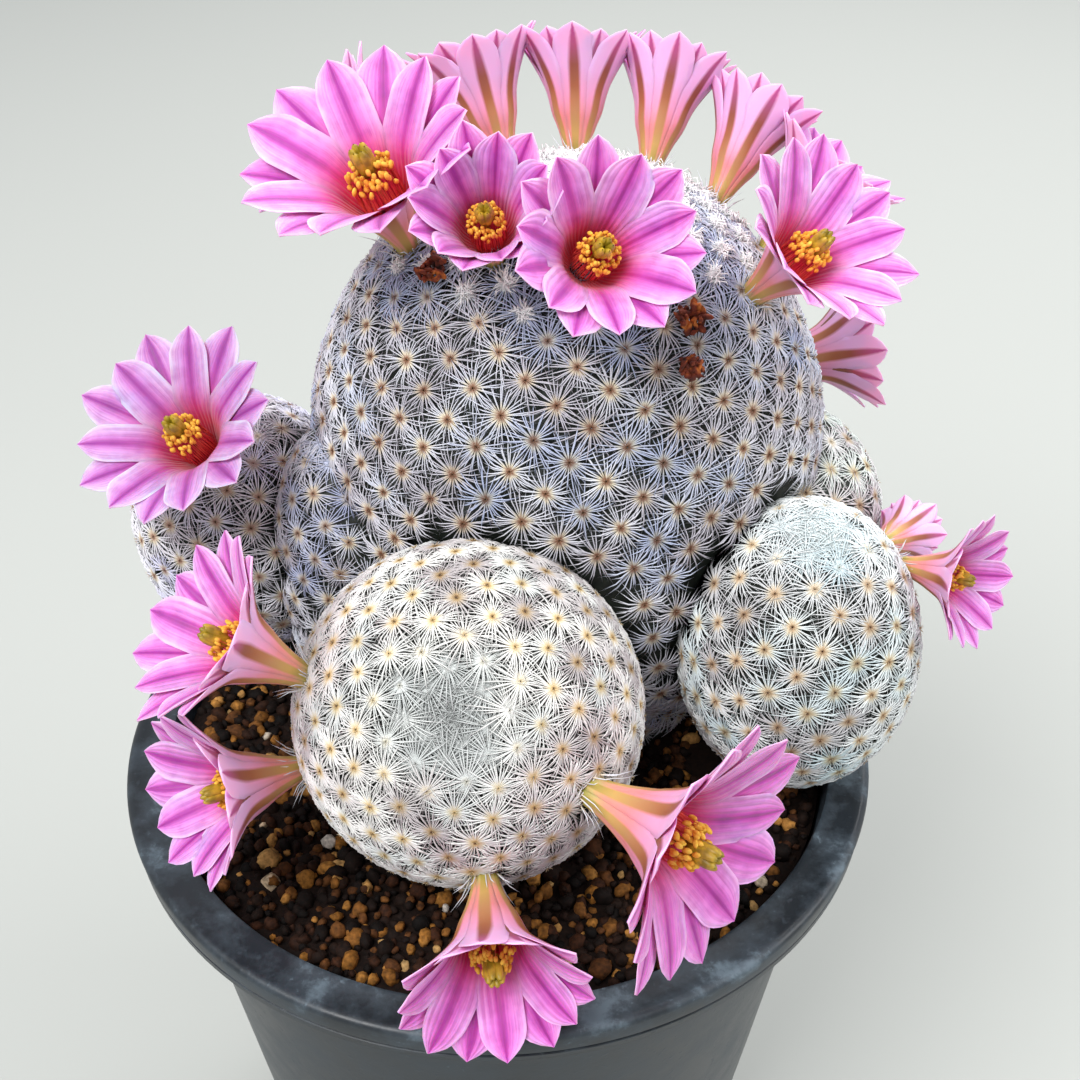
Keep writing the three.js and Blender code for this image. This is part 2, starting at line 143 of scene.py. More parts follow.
def turned(profile, sides):
    """A surface of revolution: rings of points for (radius, height) pairs, and the quads between them."""
    turn = np.arange(sides) / sides * FULL_TURN
    points = [[radius * math.cos(angle), radius * math.sin(angle), height]
              for radius, height in profile for angle in turn]
    faces = []
    for ring in range(len(profile) - 1):
        for side in range(sides):
            after = (side + 1) % sides
            low, high = ring * sides, (ring + 1) * sides
            faces.append([low + side, low + after, high + after, high + side])
    return points, faces


# Polypropylene, moulded: a satin charcoal skin, greyed by dried dust in patches and specks, most of it on
# the rim.
plastic, tree, shader = material("moulded polypropylene, charcoal, dusty")
place = add(tree, "TexCoord", out="Object")
patches = add(tree, "TexNoise", Vector=place, Scale=per_metre(DUST_PATCH), Detail=7, Roughness=0.65)
specks = add(tree, "TexNoise", Vector=place, Scale=per_metre(DUST_SPECK), Detail=3)
dust = add(tree, "MapRange", Value=patches, From_Min=0.42, From_Max=0.84)
grit = add(tree, "MapRange", Value=specks, From_Min=0.62, From_Max=0.75)
height = add(tree, "SeparateXYZ", out="Z", Vector=place)
more_on_rim = add(tree, "MapRange", Value=height, From_Min=(POT_HEIGHT - SKIRT_DEPTH) * MM,
                  From_Max=POT_HEIGHT * MM, To_Min=0.7, To_Max=1.7)
settled = add(tree, "Math", {"operation": "MULTIPLY"}, in0=dust, in1=more_on_rim)
dusty = add(tree, "Math", {"operation": "MULTIPLY_ADD"}, in0=grit, in1=0.35, in2=settled)
feed(shader, IOR=1.49,
     Base_Color=add(tree, "ValToRGB", stops=[(0, "#1a2026"), (0.55, "#323b43"), (1, "#5c6a74")], Fac=dusty),
     Roughness=add(tree, "MapRange", Value=dusty, To_Min=0.36, To_Max=0.62),
     Normal=add(tree, "Bump", Strength=0.25, Distance=DUST_DEPTH, Height=dusty))

# The moulding in section, as (radius, height): under the base, up the outside, round the skirt and its
# groove, over the rim and down the inside.
under_rim = POT_HEIGHT - RIM_THICKNESS
skirt_foot = POT_HEIGHT - SKIRT_DEPTH
inner = RIM_RADIUS - RIM_WIDTH
pot_profile = [
    (0, 0), (BASE_RADIUS - 3, 0), (BASE_RADIUS - 1.2, 0.1), (BASE_RADIUS - 0.4, 0.5), (BASE_RADIUS, 1.5),
    (wall_inside(40) + WALL_THICKNESS, 40), (wall_inside(80) + WALL_THICKNESS, 80),
    (wall_inside(under_rim) + WALL_THICKNESS, under_rim - 0.6), (inner + 1.9, under_rim),
    (RIM_RADIUS - 2, under_rim), (RIM_RADIUS - 1.6, under_rim - 0.4), (RIM_RADIUS - 1.6, skirt_foot),
    (RIM_RADIUS - 0.7, skirt_foot), (RIM_RADIUS - 0.45, skirt_foot + 0.2),
    (RIM_RADIUS - 0.4, skirt_foot + 1.1), (RIM_RADIUS - 0.75, skirt_foot + 1.25),
    (RIM_RADIUS - 0.75, skirt_foot + 1.6), (RIM_RADIUS - 0.3, skirt_foot + 1.75),
    (RIM_RADIUS, POT_HEIGHT - 0.9), (RIM_RADIUS - 0.12, POT_HEIGHT - 0.4),
    (RIM_RADIUS - 0.5, POT_HEIGHT - 0.1), (RIM_RADIUS - 1, POT_HEIGHT),
    (RIM_RADIUS - 1.5, POT_HEIGHT - 0.12), (inner + 1.2, POT_HEIGHT - 0.18),
    (inner + 0.7, POT_HEIGHT), (inner + 0.25, POT_HEIGHT - 0.1), (inner, POT_HEIGHT - 0.6),
    (wall_inside(60), 60), (wall_inside(BASE_THICKNESS), BASE_THICKNESS), (0, BASE_THICKNESS),
]
pot = piece("pot_moulding", *turned(pot_profile, POT_SIDES), [plastic], "pot_plastic", ["pot"])

# The drainage slots are cut out of the base.
corner = np.array([(x, y, z) for x in (-1, 1) for y in (-1, 1) for z in (-1, 1)])
sides = [[0, 1, 3, 2], [4, 6, 7, 5], [0, 4, 5, 1], [2, 3, 7, 6], [0, 2, 6, 4], [1, 5, 7, 3]]
cutters, cutter_faces = [], []
for number in range(SLOT_COUNT):
    turn = number / SLOT_COUNT * FULL_TURN
    block = corner * (SLOT_LENGTH / 2, SLOT_WIDTH / 2, 3 * BASE_THICKNESS / 2) + (SLOT_RADIUS, 0, 0)
    cosine, sine = math.cos(turn), math.sin(turn)
    cutters += (block @ np.array([(cosine, sine, 0), (-sine, cosine, 0), (0, 0, 1)])).tolist()
    cutter_faces += [[8 * number + place for place in side] for side in sides]
cutter_mesh = bpy.data.meshes.new("slots")
cutter_mesh.from_pydata([Vector(point) * MM for point in cutters], [], cutter_faces)
cutter = bpy.data.objects.new("slots", cutter_mesh)
bpy.context.scene.collection.objects.link(cutter)
weld = pot.modifiers.new("weld", "WELD")
weld.merge_threshold = 0.00001
cut = pot.modifiers.new("slots", "BOOLEAN")
cut.operation = "DIFFERENCE"
cut.object = cutter
bpy.context.view_layer.update()
pot.data = bpy.data.meshes.new_from_object(pot.evaluated_get(bpy.context.evaluated_depsgraph_get()))
pot.modifiers.clear()
bpy.data.objects.remove(cutter)
pot.data.set_sharp_from_angle(angle=math.radians(SHARP_EDGE))

# ---- Heads ----
# Six round heads of one plant. The skin is dark green and grows low round bumps in spirals from the
# crown; every bump ends in an areole, a tan felt cushion with a flat star of fine white spines. The stars
# lie over one another like lace and hide the skin, except for small dark gaps.

SOIL_TOP = 92
NECK_DEPTH = 6
NECK_INSET = 2
GOLDEN_ANGLE = math.pi * (3 - math.sqrt(5))
CELL_AREA = math.sqrt(3) / 2
CROWDED = 0.58
DIMPLE_REACH = 0.3
BUMP_DEPTH = 1.9
BUMP_TOP = 0.35
BUMP_REACH = 0.58
DEEPEST = 0.2
STAR_OVER_SOIL = 0.5
CREVICE = 1.09
TOUCHING = 0.98

# A head is a ball so wide, deep, high up and far down from its centre, on a neck with its foot in the
# soil. Two angles are degrees round from the front and degrees up. star is the distance between stars,
# spines their number of spines, arch how far these bow, young how far from the crown, in radians, the
# areoles are young and close, dimple how deep the crown sinks. white, root, fresh and cool are colours of
# spines: along their length, at the root, of young stars, and of the cooler ones. pale is how far the
# young colour reaches where it goes further than young, and wool is the hairs over the crown: how far
# they reach, how many an areole has, and how long the longest is.
# Each head's white, root, fresh and cool colours are partly its own tone and partly painted light. They are
# set lighter or darker to how brightly that head is lit: the left head's are lighter against the shade of the
# flower above it, and the front head's are greyer, most of all at its crown.
HEADS = [
    dict(name="head_front", centre=(-3.2, -20, 116.8), wide=22.8, deep=22.6, up=22.4, down=22.4, neck=10,
         foot=(-3, -17), crown=(-4, 40), star=4.8, arch=0.25, spines=42, dimple=2.2, young=0.3,
         white="#eeeeea", root="#dcc088", fresh="#cfd2d4", cool="#e4e8ea"),
    dict(name="head_right", centre=(42.2, -5, 114.6), wide=16.5, deep=16.5, up=23, down=21, neck=6.5,
         foot=(33, -4), crown=(0, 80), star=5.2, arch=0.35, spines=38, dimple=0.4, young=0.3,
         white="#ecf1f0", root="#cdb08a", fresh="#eef0f0", cool="#dce8ee"),
    dict(name="head_right_back", centre=(40.4, 20, 120.5), wide=16.9, deep=16.9, up=17.4, down=22, neck=7.5,
         foot=(27, 13), crown=(20, 80), star=5.2, arch=0.35, spines=34, dimple=0.4, young=0.3,
         white="#f8faf8", root="#d6ba96", fresh="#f2f2f2", cool="#e4ece8"),
    dict(name="head_left", centre=(-38.7, 22, 119.3), wide=16.8, deep=16.8, up=18, down=23, neck=8,
         foot=(-28, 18), crown=(-30, 75), star=5.0, arch=0.4, spines=34, dimple=0.4, young=0.3,
         white="#f8f7fc", root="#c8a48e", fresh="#f6f6f8", cool="#e6e6f8"),
    dict(name="lobe_low_left", centre=(-21, 12, 121), wide=11.5, deep=13, up=20, down=34, neck=8,
         foot=(-18, 12), crown=(-30, 70), star=4.7, arch=0.35, spines=34, dimple=0, young=0.2,
         white="#dfe2ea", root="#b89a80", fresh="#e8eaee", cool="#d0d6ee"),
    dict(name="head_main", centre=(10, 20, 134), wide=36.6, deep=31, up=41, down=58, neck=25,
         foot=(10, 20), crown=(0, 90), star=5.4, arch=0.5, spines=35, dimple=1.5, young=0.45,
         white="#dfe1e8", root="#9c7258", fresh="#ffffff", cool="#ccd6ee", pale=0.62,
         wool=dict(reach=0.74, count=105, longest=3)),
]

# The flowers, which the stars leave room for: the head, where the foot is, where it points, how many
# degrees it opens, its size, its turn about itself, and for some a cooler (0) or rosier (1) tone.
BLOOMS = [
    dict(on="head_main", at=(-73, 53.5), aim=(-35.9, 61.2), open=50, size=1.123, roll=25),
    dict(on="head_main", at=(-112, 54), aim=(-96.4, 33.1), open=46, size=1.018, roll=15),
    dict(on="head_main", at=(-31, 59), aim=(-4.5, 48.7), open=30, size=0.862, roll=1),
    dict(on="head_main", at=(2, 57), aim=(15, 38), open=43, size=0.92, roll=0),
    dict(on="head_main", at=(63, 43.5), aim=(49, 48), open=50, size=0.95, roll=0),
    dict(on="head_main", at=(-150, 62), aim=(-144.1, 61.7), open=32, size=0.882, roll=19),
    dict(on="head_main", at=(176, 62), aim=(-180.8, 66.5), open=30, size=0.863, roll=6),
    dict(on="head_main", at=(142, 60), aim=(158.3, 55.3), open=28, size=0.836, roll=5.5),
    dict(on="head_main", at=(112, 54), aim=(142, 45.1), open=28, size=0.823, roll=14),
    dict(on="head_main", at=(98, 42), aim=(102, 54), open=38, size=0.88, roll=0),
    dict(on="head_main", at=(123, 3), aim=(100, 8), open=40, size=0.85, roll=0),
    dict(on="head_left", at=(0, 53), aim=(-31, 55), open=60, size=0.98, roll=0, tone=0),
    dict(on="head_front", at=(-79, 25), aim=(-74, 41), open=47, size=0.95, roll=10),
    dict(on="head_front", at=(-78, -15), aim=(-53, 13), open=43, size=0.92, roll=0),
    dict(on="head_front", at=(7, -24), aim=(6, -2), open=40, size=0.97, roll=0, tone=1),
    dict(on="head_front", at=(44, 4), aim=(51, 1), open=61, size=1.15, roll=8, tone=1),
    dict(on="head_right", at=(122, 35), aim=(143, -20), open=24, size=0.55, roll=0),
    dict(on="head_right", at=(105, 32), aim=(50, 12), open=50, size=0.68, roll=0),
]
HUSKS = [
    dict(on="head_main", at=(32.5, 43.7), aim=(32, 50), size=1),
    dict(on="head_main", at=(28.5, 35.4), aim=(28, 40), size=0.8),
    dict(on="head_main", at=(-46.9, 51.2), aim=(-46, 58), size=0.9),
]
BLOOM_ROOM = 2.1
HUSK_ROOM = 1.3
head_named = {head["name"]: head for head in HEADS}


def way_to(at):
    """Unit vector so many degrees round from the front and so many degrees up."""
    turn, rise = np.radians(at)
    return np.array([math.sin(turn) * math.cos(rise), -math.cos(turn) * math.cos(rise), math.sin(rise)])


def skin_at(head, ways, lift=0):
    """Points and normals of a head's skin in directions of the unit sphere, raised by so much."""
    ways = np.atleast_2d(ways)
    axes = np.empty_like(ways)
    axes[:, 0], axes[:, 1] = head["wide"], head["deep"]
    axes[:, 2] = np.where(ways[:, 2] > 0, head["up"], head["down"])
    normals = ways / axes
    normals /= np.linalg.norm(normals, axis=1, keepdims=True)
    raised = np.broadcast_to(np.asarray(lift, float).reshape(-1, 1), (len(ways), 1))
    return ways * axes + normals * raised + head["centre"], normals


def depth_in(head, points):
    """Below 1 inside a head, 1 on its skin, above 1 outside."""
    away = points - np.array(head["centre"], float)
    height = np.where(away[:, 2] > 0, head["up"], head["down"])
    across, back = (away[:, 0] / head["wide"]) ** 2, (away[:, 1] / head["deep"]) ** 2
    return np.sqrt(across + back + (away[:, 2] / height) ** 2)


def pressed(head, points):
    """Where two heads press on each other, the later one is flattened to the earlier one's skin."""
    points = points.copy()
    for other in HEADS[:HEADS.index(head)]:
        depth = depth_in(other, points)
        inside = depth < 1
        middle = np.array(other["centre"], float)
        points[inside] = middle + (points[inside] - middle) / np.maximum(depth[inside], DEEPEST)[:, None]
    return points


def necked(head, ways, points, normals):
    """Under the ball of a head its skin goes down a narrower neck into the soil."""
    points, normals = points.copy(), normals.copy()
    lean = math.asin(head["neck"] / min(head["wide"], head["deep"]))
    angle = np.arccos(np.clip(-ways[:, 2], -1, 1))
    neck = angle < lean
    top = head["centre"][2] - head["down"] * math.cos(lean)
    foot_z = SOIL_TOP - NECK_DEPTH
    share = np.clip(angle[neck] / lean * 2 - 1, 0, 1)
    narrow = np.clip(angle[neck] / lean * 2, 0, 1) * (head["neck"] - NECK_INSET)
    outward = ways[neck, :2] / np.maximum(np.linalg.norm(ways[neck, :2], axis=1, keepdims=True), 1e-6)
    axis = np.array(head["foot"]) * (1 - share)[:, None] + np.array(head["centre"][:2]) * share[:, None]
    points[neck, :2] = axis + outward * narrow[:, None]
    points[neck, 2] = foot_z + (top - foot_z) * share
    normals[neck, :2] = outward
    normals[neck, 2] = 0
    return points, normals


feet = [skin_at(head_named[one["on"]], way_to(one["at"]))[0][0] for one in BLOOMS + HUSKS]
room_at = [BLOOM_ROOM] * len(BLOOMS) + [HUSK_ROOM] * len(HUSKS)


def areoles(head):
    """Where a head's stars sit, as directions, with their spacing and their angle from the crown."""
    radius = (head["wide"] + head["deep"]) / 2
    angle = np.linspace(0, math.pi, 2000)
    height = np.where(angle < math.pi / 2, head["up"], head["down"])
    spacing = head["star"] * (1 - CROWDED * np.exp(-(angle / head["young"]) ** 2))
    meridian = np.hypot(radius * np.cos(angle), height * np.sin(angle))
    density = FULL_TURN * radius * np.sin(angle) * meridian / (CELL_AREA * spacing ** 2)
    count = np.concatenate([[0], np.cumsum((density[1:] + density[:-1]) / 2 * (angle[1] - angle[0]))])
    number = np.arange(int(count[-1]))
    polar = np.interp(number + 0.5, count, angle)
    spacing = np.interp(polar, angle, spacing)
    turn = number * GOLDEN_ANGLE
    ways = np.stack([np.sin(polar) * np.cos(turn), np.sin(polar) * np.sin(turn), np.cos(polar)], 1)
    to_crown = Vector((0, 0, 1)).rotation_difference(Vector(way_to(head["crown"])))
    ways = ways @ np.array(to_crown.to_matrix()).T
    points = necked(head, ways, *skin_at(head, ways))[0]
    shown = points[:, 2] > SOIL_TOP + STAR_OVER_SOIL
    for other in HEADS:
        if other is not head:
            earlier = HEADS.index(other) < HEADS.index(head)
            shown &= depth_in(other, points) > (CREVICE if earlier else TOUCHING)
    for foot, room in zip(feet, room_at):
        shown &= np.linalg.norm(points - foot, axis=1) > room
    return ways[shown], spacing[shown], polar[shown]


def sunk(head, polar):
    """How far the skin sinks round the crown."""
    return -head["dimple"] * np.exp(-(polar / DIMPLE_REACH) ** 2)


SPINE_EDGES = (0.25, 0.5833, 0.9167)
SPINE_POINTS = 7
SPINE_FACES = [[0, 1, 4], [0, 4, 3], [1, 2, 5], [1, 5, 4], [2, 0, 3], [2, 3, 5],
               [3, 4, 6], [4, 5, 6], [5, 3, 6]]


def strands(base, along, normal, length, arch, drop, radius):
    """Thin bowed three-sided spines: a ring at the root, a ring halfway and a point."""
    side = np.cross(normal, along)
    halfway = base + along * (length * 0.5)[:, None] + normal * arch[:, None]
    tip = base + along * length[:, None] + normal * drop[:, None]
    rings = []
    for centre, width in ((base, radius), (halfway, radius * 0.75)):
        for turn in SPINE_EDGES:
            offset = math.cos(turn * FULL_TURN) * side + math.sin(turn * FULL_TURN) * normal
            rings.append(centre + offset * width)
    points = np.stack(rings + [tip], 1)
    faces = (np.arange(len(base)) * SPINE_POINTS)[:, None, None] + np.array(SPINE_FACES)
    return points.reshape(-1, 3), faces.reshape(-1, 3)


# Lengths of spines and felt hairs are shares of the spacing of their stars. lift is how steeply they
# stand up, and end is how far along a spine's colours they reach.
FELT_HAIRS = 9
RADIAL_SPINE = dict(shortest=0.66, longest=1.2, lift=0, radius=0.13, end=1.0)
FELT_HAIR = dict(shortest=0.09, longest=0.16, lift=0.5, radius=0.075, end=0.16)
YOUNG_LONGER = 0.9
YOUNG_PLACE = 0.6
AREOLE_RADIUS = 0.12


def star_spines(head, seed):
    """A head's radial spines and then its felt, each as points, faces, root 0 to tip 1, and tint."""
    random = np.random.default_rng(seed)
    ways, spacing, polar = areoles(head)
    points, normals = necked(head, ways, *skin_at(head, ways, sunk(head, polar)))
    points = pressed(head, points)
    young = np.clip(1.3 * np.exp(-(polar / head["young"]) ** 2), 0, 1)
    pale = np.clip(1.3 * np.exp(-(polar / head.get("pale", head["young"])) ** 2), 0, 1)
    east = np.cross(way_to(head["crown"]), normals)
    east /= np.linalg.norm(east, axis=1, keepdims=True) + 1e-9
    north = np.cross(normals, east)
    radius = (head["wide"] + head["deep"]) / 2
    vigour = random.uniform(0.9, 1.1, len(ways))
    hue = 0.7 * random.uniform(0, 1, len(ways))
    tint = hue + pale * (1 - hue)
    sets = []
    for count, kind in ((head["spines"], RADIAL_SPINE), (FELT_HAIRS, FELT_HAIR)):
        turn = (np.arange(count) + random.uniform(-0.45, 0.45, (len(ways), count))) / count
        turn = (turn + random.uniform(0, 1, (len(ways), 1))) * FULL_TURN
        along = np.cos(turn)[..., None] * east[:, None] + np.sin(turn)[..., None] * north[:, None]
        normal = np.broadcast_to(normals[:, None], along.shape).reshape(-1, 3)
        along = along.reshape(-1, 3)
        lift = kind["lift"]
        if lift:
            along = along * (1 - lift) + normal * lift
            along /= np.linalg.norm(along, axis=1, keepdims=True)
        each_young = np.repeat(young, count)
        length = np.repeat(spacing * vigour, count)
        length *= random.uniform(kind["shortest"], kind["longest"], len(along))
        length *= 1 + YOUNG_LONGER * each_young
        base = np.repeat(points, count, 0) + along * AREOLE_RADIUS
        sag = length ** 2 / (2 * radius)
        arch = (0 if lift else head["arch"]) * random.uniform(0.5, 1.3, len(along)) - sag / 4
        drop = np.zeros(len(along)) if lift else random.uniform(-0.5, 0.05, len(along)) - sag
        made, faces = strands(base, along, normal, length, arch, drop, kind["radius"])
        end = kind["end"]
        place = np.tile([0, 0, 0, 0.5 * end, 0.5 * end, 0.5 * end, end], len(along))
        place = place + (YOUNG_PLACE - YOUNG_PLACE * place) * np.repeat(each_young, SPINE_POINTS)
        sets.append((made, faces, place, np.repeat(np.repeat(tint, count), SPINE_POINTS)))
    return sets


def wool(head, seed, reach, count, longest):
    """Loose curled hairs over the young areoles round a head's crown: points and faces."""
    random = np.random.default_rng(seed)
    ways, _, polar = areoles(head)
    near = polar < reach
    points, normals = skin_at(head, ways[near], sunk(head, polar[near]))
    fade = np.repeat(1 - 0.45 * (polar[near] / reach) ** 3, count)
    base = np.repeat(points, count, 0) + random.normal(0, 0.35, (len(fade), 3))
    normal = np.repeat(normals, count, 0)
    lying = np.cross(normal, random.normal(size=normal.shape))
    lying /= np.linalg.norm(lying, axis=1, keepdims=True)
    length = longest * random.uniform(0.45, 1, len(fade)) * fade
    arch = length * random.uniform(0.25, 0.6, len(fade))
    drop = length * random.uniform(-0.1, 0.35, len(fade))
    return strands(base, lying, normal, length, arch, drop, 0.12)


def number_per_point(made, name, values):
    """Keeps a number for every point of a mesh, for its material to read."""
    made.data.attributes.new(name, "FLOAT", "POINT").data.foreach_set("value", np.asarray(values, np.float32))


def bake_map(made, along, row):
    """A texture map through which all spines share one strip from root to tip."""
    layer = made.data.uv_layers.new(name="OFBake")
    corner = np.empty(len(made.data.loops), int)
    made.data.loops.foreach_get("vertex_index", corner)
    across = np.tile([0, 0.4, 0.8, 0, 0.4, 0.8, 0.4], len(along) // SPINE_POINTS) / 40
    layer.data.foreach_set("uv", np.stack([(0.02 + 0.96 * along)[corner], (row + across)[corner]], 1).ravel())


def ball(fineness):
    """Points and triangles of a ball of radius 1."""
    build = bmesh.new()
    bmesh.ops.create_icosphere(build, subdivisions=fineness, radius=1)
    build.verts.index_update()
    points = np.array([vertex.co for vertex in build.verts])
    faces = np.array([[vertex.index for vertex in face.verts] for face in build.faces])
    build.free()
    return points, faces


def mottled(name, patch, detail, roughness, stops):
    """A material whose colours lie in patches so many millimetres wide."""
    made, tree, shader = material(name)
    place = add(tree, "TexCoord", out="Object")
    patches = add(tree, "TexNoise", Vector=place, Scale=per_metre(patch), Detail=detail)
    feed(shader, Base_Color=add(tree, "ValToRGB", stops=stops, Fac=patches), Roughness=roughness)
    return made


# Cactus skin: a waxy dark green, evenly mottled and near black all over: partly its own dark green, partly
# painted shade for the deep gaps between the stars.
skin = mottled("cactus skin, dark green, waxy", 2, 4, 0.6, [(0.3, "#10140f"), (0.7, "#262f26")])

# What a Mix node is told in order to multiply two colours, and the number of its colour output.
MULTIPLY = {"data_type": "RGBA", "blend_type": "MULTIPLY"}
COLOUR_OUT = 2
for number, head in enumerate(HEADS):
    # Bristle, grown: dull white with a slight gloss, tan and yellow where it leaves the felt. Each head has
    # its own copy, and its colours are partly painted light.
    bristle, tree, shader = material(f"cactus spine bristle, {head['name']}")
    along = add(tree, "Attribute", {"attribute_name": "along"}, out="Fac")
    kind = add(tree, "Attribute", {"attribute_name": "kind"}, out="Fac")
    body = add(tree, "ValToRGB", Fac=along, stops=[
        (0, "#7a5232"), (0.06, head["root"]), (0.16, "#e6dcc4"), (0.3, head["white"]), (1, head["white"])])
    tint = add(tree, "ValToRGB", Fac=kind, stops=[
        (0, "#c9c2c6"), (0.2, "#ece8ea"), (0.45, "#ffffff"), (0.7, head["cool"]), (1, head["fresh"])])
    feed(shader, Base_Color=add(tree, "Mix", MULTIPLY, out=COLOUR_OUT, in0=1.0, in6=body, in7=tint),
         Roughness=0.5, IOR=1.45)
    for part, (points, faces, along, kind) in zip(("spines", "felt"), star_spines(head, 10 + number)):
        bristles = piece(f"{head['name']}_{part}", points, faces, [bristle], "spiny_skin")
        number_per_point(bristles, "along", along)
        number_per_point(bristles, "kind", kind)
        bake_map(bristles, along, 0.02 + 0.93 * kind)

    if "wool" in head:
        # Wool of the youngest areoles, grown: white matted hairs that hide the skin at the crown.
        fleece = mottled(f"crown wool, {head['name']}", 2.5, 3, 0.8, [(0.3, "#f2f2f2"), (0.6, head["fresh"])])
        points, faces = wool(head, 40 + number, **head["wool"])
        piece(f"{head['name']}_wool", points, faces, [fleece], "spiny_skin")

    # The skin stands up in a bump under each star and lies deep between them.
    ways, faces = ball(7 if head["wide"] > 30 else 6)
    ways /= np.linalg.norm(ways, axis=1, keepdims=True)
    star_ways = areoles(head)[0]
    star_points = necked(head, star_ways, *skin_at(head, star_ways))[0]
    tree_of_stars = kdtree.KDTree(len(star_points))
    for index, point in enumerate(star_points):
        tree_of_stars.insert(point, index)
    tree_of_stars.balance()
    gap = np.array([tree_of_stars.find(point)[2] for point in skin_at(head, ways)[0]])
    reach = np.clip(gap / (BUMP_REACH * head["star"]), 0, 1)
    lift = -BUMP_TOP - BUMP_DEPTH * reach ** 2 * (3 - 2 * reach)
    polar = np.arccos(np.clip(ways @ way_to(head["crown"]), -1, 1))
    raised, normals = skin_at(head, ways, lift + sunk(head, polar))
    points = necked(head, ways, pressed(head, raised), normals)[0]
    piece(head["name"] + "_skin", points, faces, [skin], "spiny_skin", [head["name"]])

# Longer spines of the areoles round each flower's foot, grown: white, leaning on its tube.
FOOT_SPINES = 14
FOOT_RADIUS = 1.75
random = np.random.default_rng(30)
bases, ways, fronts, lengths = [], [], [], []
for one in BLOOMS:
    foot, normal = (found[0] for found in skin_at(head_named[one["on"]], way_to(one["at"])))
    first = np.cross(normal, (0.3, 0.5, 0.8))
    first /= np.linalg.norm(first)
    second = np.cross(normal, first)
    for place in range(FOOT_SPINES):
        turn = (place + random.uniform(-0.4, 0.4)) / FOOT_SPINES * FULL_TURN
        out = math.cos(turn) * first + math.sin(turn) * second
        way = way_to(one["aim"]) + out * random.uniform(0.35, 1.1)
        way /= np.linalg.norm(way)
        front = out - way * (out @ way)
        bases.append(foot + out * (FOOT_RADIUS * one["size"] + 0.3))
        ways.append(way)
        fronts.append(front / np.linalg.norm(front))
        lengths.append(random.uniform(3, 5.2) * one["size"])
lengths = np.array(lengths)
points, faces = strands(np.array(bases), np.array(ways), np.array(fronts), lengths, -0.05 * lengths,
                        0.03 * lengths, 0.12)
leaning = piece("flower_foot_spines", points, faces, [bristle], "spiny_skin")
along = np.tile([0.1, 0.1, 0.1, 0.5, 0.5, 0.5, 1], len(lengths))
number_per_point(leaning, "along", along)
number_per_point(leaning, "kind", np.full(len(points), 0.45))
bake_map(leaning, along, 0.4)

# ---- Soil ----
# Loose granular mix that fills the pot: fired clay, pumice and bark in grains of 1 to 3 mm, with some orange
# and a few white grains on top. The body under the grains is near black: partly damp soil, partly painted
# shade in the gaps between the grains. Each stem stands in it.

SOIL_SIDES = 90
SOIL_RINGS = 24
SOIL_SORT = 0.2
UNEVEN = 0.9
GRAIN_STEP = 1.6
GRAIN_SIZES = [0.6, 0.85, 1.1, 1.4]
GRAIN_SHARES = [0.35, 0.35, 0.2, 0.1]
GRAIN_SKIN = 0.6667
PIT_DEPTH = 0.0002

# Mineral grains: matt and pitted, from near-black brown through tan to orange, a few of them white pumice.
# Their pits are painted darker: painted shade.
grit_mix, tree, shader = material("fired clay and pumice grains, damp")
place = add(tree, "TexCoord", out="Object")
sort = add(tree, "Attribute", {"attribute_name": "sort"}, out="Fac")
colours = add(tree, "ValToRGB", Fac=sort, stops=[
    (0, "#0c0604"), (0.35, "#26150c"), (0.58, "#482815"), (0.74, "#744822"),
    (0.87, "#a8702e"), (0.95, "#cc9048"), (0.99, "#dcb070"), (1, "#e8e2d6")])
pitted = add(tree, "TexNoise", Vector=place, Scale=per_metre(GRAIN_SKIN), Detail=4)
# Painted shade: the colour darkens where the bump's noise is low, in the pits.
shade = add(tree, "ValToRGB", Fac=pitted, stops=[(0.3, "#8f8f8f"), (0.7, "#ffffff")])
feed(shader, Base_Color=add(tree, "Mix", MULTIPLY, out=COLOUR_OUT, in0=1.0, in6=colours, in7=shade),
     Roughness=0.8, Specular_IOR_Level=0.2,
     Normal=add(tree, "Bump", Strength=0.5, Distance=PIT_DEPTH, Height=pitted))

random = np.random.default_rng(5)
soil_radius = wall_inside(SOIL_TOP) - 0.6
soil_floor = BASE_THICKNESS + 0.3
soil_profile = [(0, soil_floor), (wall_inside(soil_floor) - 0.3, soil_floor), (soil_radius, SOIL_TOP - 1.5)]
under_surface = len(soil_profile) * SOIL_SIDES
soil_profile += [(soil_radius * (1 - ring / SOIL_RINGS), SOIL_TOP - 1) for ring in range(SOIL_RINGS + 1)]
points, faces = turned(soil_profile, SOIL_SIDES)
points = np.array(points)
for point in points[under_surface:]:
    point[2] += UNEVEN * noise.noise(Vector(point) * 0.3)
ground = piece("soil_body", points, faces, [grit_mix], "soil", ["soil"])
# The body takes the near-black end of the grain colours: partly damp soil, partly painted shade between the
# grains.
number_per_point(ground, "sort", np.full(len(points), SOIL_SORT))

# The loose grains lie on the body of the soil, each one turned, squashed and lumpy in its own way.
pebble, pebble_faces = ball(2)
rows = int(soil_radius / GRAIN_STEP) + 1
grains = []
for row in range(-rows, rows + 1):
    for column in range(-rows, rows + 1):
        spot = np.array([(column + 0.5 * (row % 2)) * GRAIN_STEP, row * GRAIN_STEP * CELL_AREA])
        spot += random.uniform(-0.6, 0.6, 2)
        size = random.choice(GRAIN_SIZES, p=GRAIN_SHARES) * random.uniform(0.85, 1.15)
        if np.linalg.norm(spot) < soil_radius - size * 0.8:
            grains.append((spot[0], spot[1], SOIL_TOP - 0.9 + random.uniform(-0.3, 0.8), size))
grains = np.array(grains)
kept = np.ones(len(grains), bool)
for head in HEADS:
    away = np.linalg.norm(grains[:, :2] - head["foot"], axis=1)
    kept &= (away > head["neck"] - 1) & (depth_in(head, grains[:, :3]) > 1.0)
grains = grains[kept]
